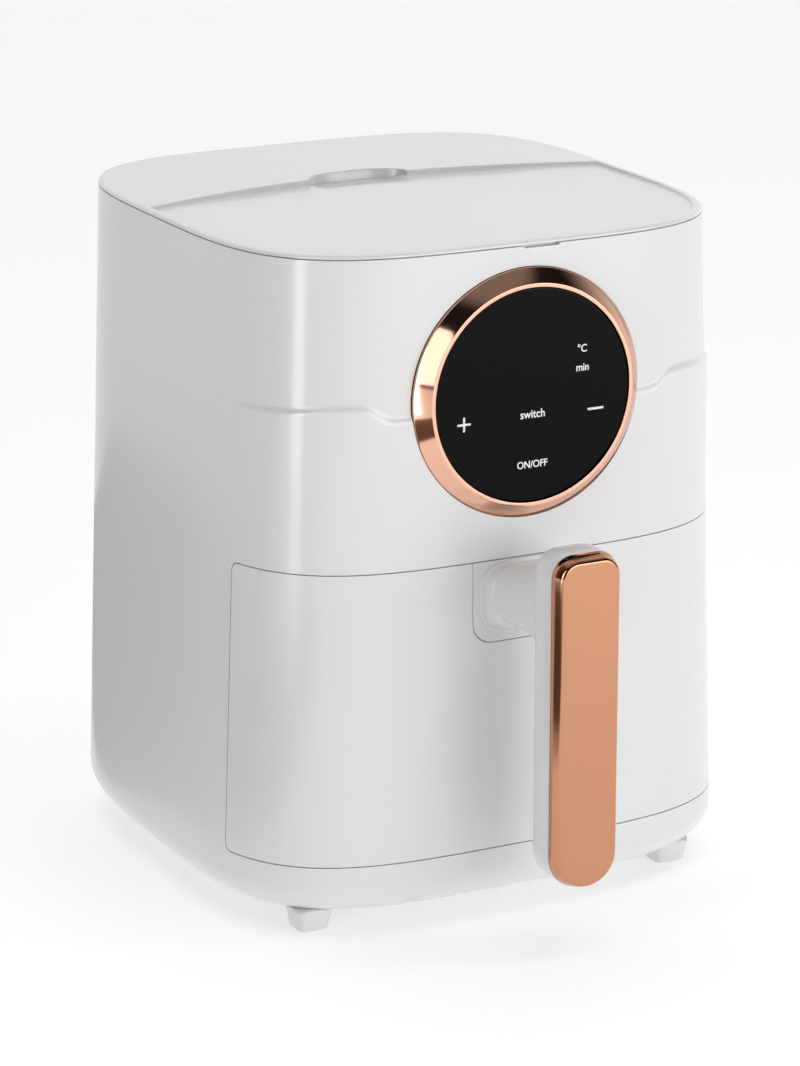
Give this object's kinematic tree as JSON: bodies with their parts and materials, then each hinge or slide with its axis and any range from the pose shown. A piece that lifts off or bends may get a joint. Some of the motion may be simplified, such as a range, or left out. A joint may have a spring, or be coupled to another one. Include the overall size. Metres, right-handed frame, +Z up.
{
  "type": "air fryer with pull-out drawer",
  "caption": "Countertop air fryer with a rounded square body, a recessed top cover, a round touch display and a pull-out drawer with an upright handle.",
  "frame": {"origin": "bottom centre of the box round the whole object, handle and cord gland included, on the plane its feet stand on", "axes": "+X to the right of someone facing the drawer, +Y from the drawer front to the back, +Z up"},
  "size_m": [0.2672, 0.331, 0.3202],
  "materials": {
    "white_shell": "gloss",
    "grey_plastic": "satin",
    "copper_plating": "plated, polished",
    "black_glass": "polished",
    "pan_coating": "non-stick satin",
    "sheet_steel": "satin",
    "aluminium": "satin",
    "silicone": "matt",
    "circuit_board": "satin",
    "screw_steel": "zinc plated",
    "bush_metal": "sintered"
  },
  "bodies": {
    "housing": {"main_housing": "white_shell", "top_cover": "white_shell", "rear_cover": "white_shell", "base_plate": "white_shell", "foot_front_left": "white_shell", "foot_front_right": "white_shell", "foot_rear_left": "white_shell", "foot_rear_right": "white_shell", "cord_gland": "silicone", "chamber_frame": "grey_plastic", "cavity_liner": "sheet_steel", "heater_shroud": "sheet_steel", "heat_reflector": "aluminium", "heater_guard": "sheet_steel", "heating_element": "sheet_steel", "fan_motor": "sheet_steel", "motor_bush_lower": "bush_metal", "motor_bush_upper": "bush_metal", "motor_bracket": "sheet_steel", "temperature_sensor": "screw_steel", "thermal_fuse": "silicone", "power_board": "circuit_board", "board_carrier": "grey_plastic", "interlock_switch": "grey_plastic", "display_ring": "copper_plating", "display_glass": "black_glass", "display_holder": "grey_plastic", "display_board": "circuit_board", "base_screw_1": "screw_steel", "base_screw_2": "screw_steel", "base_screw_3": "screw_steel", "base_screw_4": "screw_steel", "rear_screw_1": "screw_steel", "rear_screw_2": "screw_steel", "rear_screw_3": "screw_steel", "rear_screw_4": "screw_steel"},
    "drawer": {"drawer_front": "white_shell", "frying_pan": "pan_coating", "handle_grip": "white_shell", "handle_trim": "copper_plating", "handle_bracket": "sheet_steel", "handle_screw_1": "screw_steel", "handle_screw_2": "screw_steel", "pan_rivet_1": "screw_steel", "pan_rivet_2": "screw_steel"},
    "crisper": {"crisper_plate": "pan_coating", "crisper_bumper_1": "silicone", "crisper_bumper_2": "silicone", "crisper_bumper_3": "silicone", "crisper_bumper_4": "silicone"},
    "rotor": {"motor_shaft": "sheet_steel", "impeller": "aluminium", "impeller_nut": "screw_steel", "cooling_fan": "grey_plastic"},
    "plunger": {"interlock_plunger": "screw_steel"}
  },
  "joints": [
    {"name": "drawer_slide", "type": "slide", "parent": "housing", "child": "drawer", "axis": [0, -1, 0], "range_m": [0, 0.25]},
    {"name": "crisper_lift", "type": "slide", "parent": "drawer", "child": "crisper", "axis": [0, 0, 1], "range_m": [0, 0.1]},
    {"name": "fan_spin", "type": "hinge", "parent": "housing", "child": "rotor", "pos_m": [0, 0.01947, 0.24], "axis": [0, 0, 1], "continuous": true},
    {"name": "plunger_press", "type": "slide", "parent": "housing", "child": "plunger", "axis": [0, 0, 1], "range_m": [0, 0.0015], "stiffness_N_per_m": 200, "springref_m": -0.001}
  ]
}
